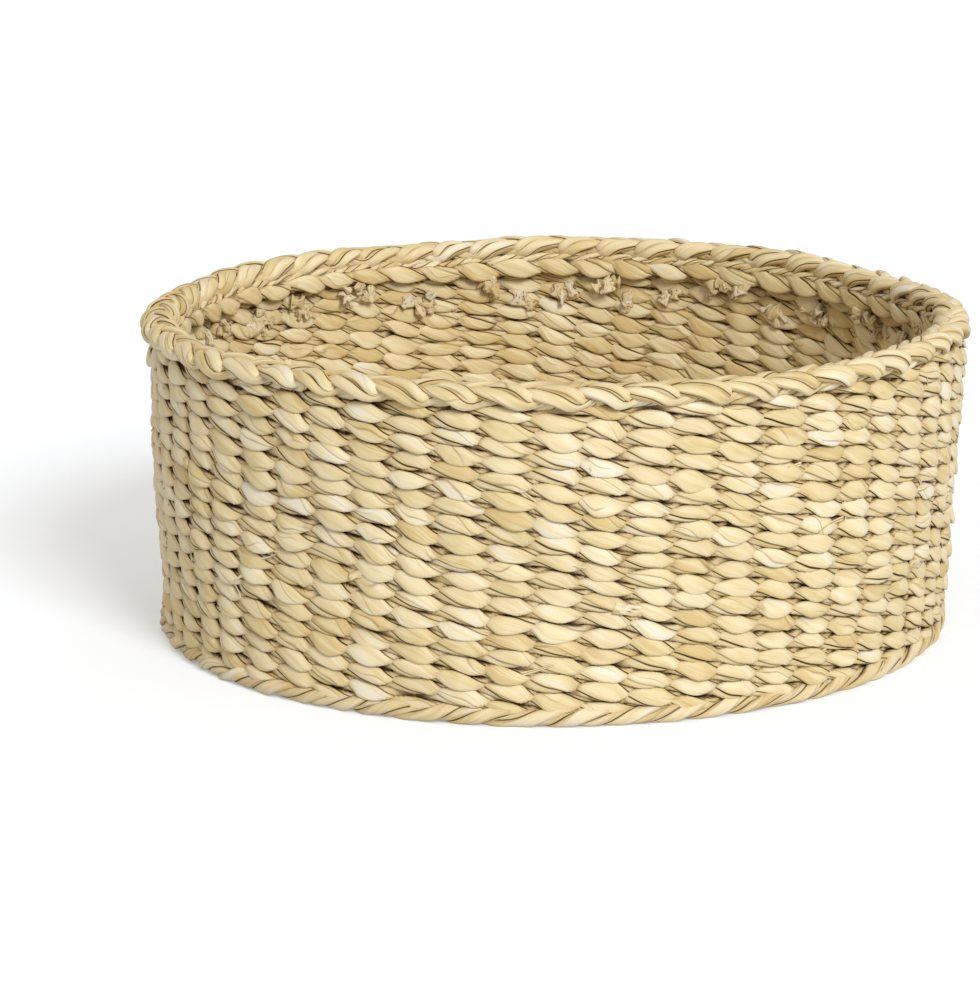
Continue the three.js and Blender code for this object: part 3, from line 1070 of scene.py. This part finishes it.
def cut_end(rng, angle, height):
    """A cut stake end: a short crumpled fold of leaf that comes in through the weave and turns over.

    Its path is an arc that leaves the wall inwards and turns towards a direction of its own, as the
    sine and one minus the cosine of its bend.
    """
    steps = 16
    share = np.linspace(0, 1, steps)
    length = rng.uniform(8, 13) * MM
    bend = rng.uniform(1.0, 2.5) * share
    inwards = 0.55 * length * np.sin(bend) / bend[-1]
    aside = length * (1 - np.cos(bend)) / bend[-1]
    facing = rng.normal(-1.5, 0.9)
    start = wall_radius(height) - 2.5 * MM - 4.5 * MM * smooth(height, 131 * MM, 137 * MM)
    at = angle + aside * np.cos(facing) / start
    centre = ring_point(at, start - inwards, 0)
    centre[:, 2] = height + aside * np.sin(facing)
    sideways = ring_point(at + np.pi / 2, np.cos(facing), np.sin(facing))
    outward = -np.sin(bend)[:, None] * ring_point(at, 1, 0) - np.cos(bend)[:, None] * sideways
    wide = rng.uniform(1.6, 4.2) * MM * (0.8 + 0.35 * np.sin(9 * share + rng.uniform(0, 6)))
    strand = Strand(centre, unit(outward), wide, rng.uniform(1.0, 1.8) * MM, closed=False)
    strand.lobe = 0.1
    strand.shade = 0.8
    strand.crumple = rng.uniform(0.08, 0.17)
    strand.crumple_start = rng.uniform(0, 20)
    strand.twist = rng.uniform(-0.6, 0.6) + rng.uniform(-1.2, 1.2) * share
    strand.tone = np.full(steps, rng.uniform(0.0, 0.6))
    strand.other_tone = np.full(steps, rng.uniform(0.0, 0.8))
    strand.wear = rng.uniform(0.1, 0.7) * (0.2 + 0.8 * share)
    return strand


def loose_end(rng, splice):
    """A leaf end that lies on the outside of the wall, its tip lifted as the square of its length.

    A splice is a broad crumpled one, where a new length of leaf was laid in.
    """
    steps = 12
    share = np.linspace(0, 1, steps)
    length = rng.uniform(9, 15) * MM if splice else rng.uniform(8, 20) * MM
    slope = rng.normal(-0.3, 0.35 if splice else 0.5) + rng.uniform(-0.8, 0.8) * share
    if rng.uniform() < 0.5:
        slope = slope + np.pi
    height = rng.uniform(18, 134) * MM + length * np.cumsum(np.sin(slope)) / steps
    radius = wall_radius(height) + 2.4 * MM
    at = rng.uniform(0, TAU) + length * np.cumsum(np.cos(slope)) / steps / radius
    lift = (rng.uniform(0.8, 1.8) if splice else rng.uniform(1.8, 3.6)) * MM
    centre = ring_point(at, radius + lift * (0.25 + 0.75 * share ** 2), height)
    outward = ring_point(at + rng.uniform(-0.3, 0.3), 1, rng.uniform(-0.3, 0.3))
    if splice:
        half_width = rng.uniform(2.0, 3.2) * MM
        half_depth = rng.uniform(1.4, 2.0) * MM
        strand = Strand(centre, unit(outward), half_width, half_depth, closed=False)
        strand.crumple = rng.uniform(0.08, 0.15)
        strand.crumple_start = rng.uniform(0, 20)
    else:
        wide = rng.uniform(0.5, 1.5) * MM * (1 - 0.6 * share)
        strand = Strand(centre, unit(outward), wide, 0.3 * MM, closed=False)
    strand.shade = 0.8
    strand.twist = rng.uniform(-0.3, 0.3) + rng.uniform(-0.6, 0.6) * share
    strand.tone = np.full(steps, rng.uniform(0.0, 0.8))
    strand.other_tone = np.full(steps, rng.uniform(0.0, 0.9))
    strand.wear = rng.uniform(0.0, 0.5) * share
    return strand


class BASKET_OT_loose_ends(bpy.types.Operator):
    """Lay the splices and the loose leaf ends on the outside of the wall"""
    bl_idname = "basket.loose_ends"
    bl_label = "Loose ends"

    def execute(self, context):
        settings = context.scene.basket_weave
        material = leaf_material("loose_leaf", settings.shade)
        rng = np.random.default_rng(26)
        ends = [loose_end(rng, number < settings.splices) for number in range(settings.ends)]
        finish_piece(join("loose_leaf_ends", ends, 14, 84), material, "weave")
        return {"FINISHED"}


class BasketEdgeSettings(bpy.types.PropertyGroup):
    lowest_end: bpy.props.FloatProperty(
        name="Lowest end", description="Height of the lowest tuft of cut stake ends",
        default=127 * MM, unit="LENGTH")
    highest_end: bpy.props.FloatProperty(
        name="Highest end", description="Height of the highest tuft of cut stake ends",
        default=141 * MM, unit="LENGTH")
    shade: bpy.props.FloatVectorProperty(
        name="Shade", description="Colour that the tones of the cut ends are multiplied by",
        default=tint(238, 238, 244)[:3], subtype="COLOR")


class BASKET_OT_inside_edge(bpy.types.Operator):
    """Lay the twisted row under the rim on the inside, and the stakes' cut ends below it"""
    bl_idname = "basket.inside_edge"
    bl_label = "Inside edge"

    def execute(self, context):
        settings = context.scene.basket_edge
        weave = context.scene.basket_weave
        rng = np.random.default_rng(88)
        inside = ROW_HIGH[0] - 5.4 * MM
        level = (ROW_LOW[2] + ROW_HIGH[2]) / 2 + 2.6 * MM
        fuller = 1.02

        def middle(height):
            """The inner row stands at one radius, whatever its height."""
            return inside + weave.swing + weave.half_depth

        row = [woven_round(rng, level, number, weave, middle, 28, fuller) for number in (0, 1)]
        material = leaf_material("edge_leaf", weave.shade)
        finish_piece(join("inner_row_rope", row, 20, 82), material, "borders", "inner_row")
        ends = []
        for stake in range(STAKES):
            angle = TAU * (stake + rng.uniform(-0.35, 0.35)) / STAKES
            top = rng.uniform(settings.lowest_end, settings.highest_end)
            for leaf in range(rng.integers(3, 6)):
                aside = rng.uniform(-0.02, 0.02)
                above = rng.uniform(-3, 3) * MM
                ends.append(cut_end(rng, angle + aside, top + above))
        material = leaf_material("dry_ends", settings.shade, rough=0.7)
        finish_piece(join("cut_stake_ends", ends, 20, 83), material, "borders")
        return {"FINISHED"}


# The stage


class BASKET_OT_stage(bpy.types.Operator):
    """Set the floor, the lamp, the world and the camera"""
    bl_idname = "basket.stage"
    bl_label = "Studio"

    def execute(self, context):
        settings = context.scene.basket_stage
        self.floor(context.scene, settings)
        self.lamp(context.scene, settings)
        self.world(context.scene, settings)
        self.camera(context.scene)
        context.scene.view_settings.view_transform = "Standard"
        return {"FINISHED"}

    def floor(self, scene, settings):
        """A square floor that glows a little for the camera alone, so that it looks white."""
        half = 6.0
        mesh = bpy.data.meshes.new("floor")
        corners = [(-half, -half, 0), (half, -half, 0), (half, half, 0), (-half, half, 0)]
        mesh.from_pydata(corners, [], [(0, 1, 2, 3)])
        piece = bpy.data.objects.new("floor", mesh)
        scene.collection.objects.link(piece)
        material = bpy.data.materials.new("white_floor")
        nodes = Nodes(material)
        seen = nodes.add("ShaderNodeLightPath", output="Is Camera Ray")
        shader = nodes.add("ShaderNodeBsdfPrincipled", {}, {
            "Base Color": (*settings.floor_colour, 1), "Roughness": 0.9, "Specular IOR Level": 0.1,
            "Emission Color": nodes.mix(seen, (0, 0, 0, 1), WHITE),
            "Emission Strength": settings.floor_glow})
        nodes.add("ShaderNodeOutputMaterial", {}, {"Surface": shader})
        mesh.materials.append(material)

    def lamp(self, scene, settings):
        """The key lamp, a wide sun from the right front."""
        key = bpy.data.lights.new("key", "SUN")
        key.energy = settings.key
        key.angle = np.radians(settings.key_softness)
        key.color = settings.key_colour
        lamp = bpy.data.objects.new("key", key)
        lamp.rotation_mode = "QUATERNION"
        lamp.rotation_quaternion = Vector(settings.key_from).to_track_quat("Z", "Y")
        scene.collection.objects.link(lamp)

    def world(self, scene, settings):
        """White all round for the camera, and a softer, warmer light for everything else."""
        scene.world = bpy.data.worlds.new("studio")
        nodes = Nodes(scene.world)
        seen = nodes.add("ShaderNodeLightPath", output="Is Camera Ray")
        values = {"Value": seen, "To Min": settings.fill, "To Max": 1.0}
        strength = nodes.add("ShaderNodeMapRange", {}, values)
        colour = nodes.mix(seen, (*settings.fill_colour, 1), WHITE)
        values = {"Color": colour, "Strength": strength}
        background = nodes.add("ShaderNodeBackground", {}, values)
        nodes.add("ShaderNodeOutputWorld", {}, {"Surface": background})

    def camera(self, scene):
        """The camera of the photograph, shifted so that the picture is cut as it is."""
        sensor = 36.0
        data = bpy.data.cameras.new("camera")
        data.sensor_width = sensor
        data.lens = sensor * FOCAL_PIXELS / PHOTO_HEIGHT
        data.shift_x = (PHOTO_WIDTH / 2 - PHOTO_CENTRE_X) / PHOTO_HEIGHT
        data.shift_y = (PHOTO_CENTRE_Y - PHOTO_HEIGHT / 2) / PHOTO_HEIGHT
        data.clip_end = 50
        eye = bpy.data.objects.new("camera", data)
        lift = np.radians(CAMERA_ELEVATION)
        aim = Vector((0, 0, CAMERA_AIM))
        place = aim + CAMERA_DISTANCE * Vector((0, -np.cos(lift), np.sin(lift)))
        turn = (place - aim).to_track_quat("Z", "Y")
        eye.matrix_world = Matrix.Translation(place) @ turn.to_matrix().to_4x4()
        scene.collection.objects.link(eye)
        scene.camera = eye


class BasketStageSettings(bpy.types.PropertyGroup):
    key: bpy.props.FloatProperty(
        name="Key", description="Strength of the key lamp", default=2.14, min=0)
    key_softness: bpy.props.FloatProperty(
        name="Key softness", description="How wide the key lamp looks from the floor, in degrees",
        default=21.0, min=0)
    key_colour: bpy.props.FloatVectorProperty(
        name="Key colour", description="Colour of the key lamp",
        default=(0.995, 0.995, 0.99), subtype="COLOR")
    key_from: bpy.props.FloatVectorProperty(
        name="Key from", description="Direction that the key lamp shines from",
        default=(0.51, -1.04, 0.75), subtype="DIRECTION")
    fill: bpy.props.FloatProperty(
        name="Fill", description="Strength of the light from all round", default=0.56, min=0)
    fill_colour: bpy.props.FloatVectorProperty(
        name="Fill colour", description="Colour of the light from all round",
        default=(1.0, 0.935, 0.835), subtype="COLOR")
    floor_colour: bpy.props.FloatVectorProperty(
        name="Floor colour", description="Colour of the floor under the light",
        default=(0.76, 0.804, 0.879), subtype="COLOR")
    floor_glow: bpy.props.FloatProperty(
        name="Floor glow", description="How much the floor is lightened for the camera alone",
        default=0.325, min=0)


class BASKET_PT_panel(bpy.types.Panel):
    """The basket's pieces, in the order in which they are made"""
    bl_label = "Basket"
    bl_idname = "BASKET_PT_panel"
    bl_space_type = "VIEW_3D"
    bl_region_type = "UI"
    bl_category = "Basket"

    def draw(self, context):
        for operator in OPERATORS:
            self.layout.operator(operator.bl_idname)


OPERATORS = (
    BASKET_OT_stage,
    BASKET_OT_wall,
    BASKET_OT_stakes,
    BASKET_OT_base,
    BASKET_OT_foot,
    BASKET_OT_rim,
    BASKET_OT_inside_edge,
    BASKET_OT_loose_ends,
)
GROUPS = {
    "basket_stage": BasketStageSettings,
    "basket_weave": BasketWeaveSettings,
    "basket_stakes": BasketStakeSettings,
    "basket_base": BasketBaseSettings,
    "basket_foot": BasketFootSettings,
    "basket_rim": BasketRimSettings,
    "basket_edge": BasketEdgeSettings,
}


def register():
    """Register the groups of settings, the operators and the panel."""
    for name, group in GROUPS.items():
        bpy.utils.register_class(group)
        setattr(bpy.types.Scene, name, bpy.props.PointerProperty(type=group))
    for operator in OPERATORS:
        bpy.utils.register_class(operator)
    bpy.utils.register_class(BASKET_PT_panel)


def unregister():
    """Take the panel, the operators and the groups of settings away again."""
    bpy.utils.unregister_class(BASKET_PT_panel)
    for operator in reversed(OPERATORS):
        bpy.utils.unregister_class(operator)
    for name, group in reversed(GROUPS.items()):
        delattr(bpy.types.Scene, name)
        bpy.utils.unregister_class(group)


def main():
    """Make every piece in order."""
    register()
    for operator in OPERATORS:
        group, name = operator.bl_idname.split(".")
        getattr(getattr(bpy.ops, group), name)()


if __name__ == "__main__":
    main()
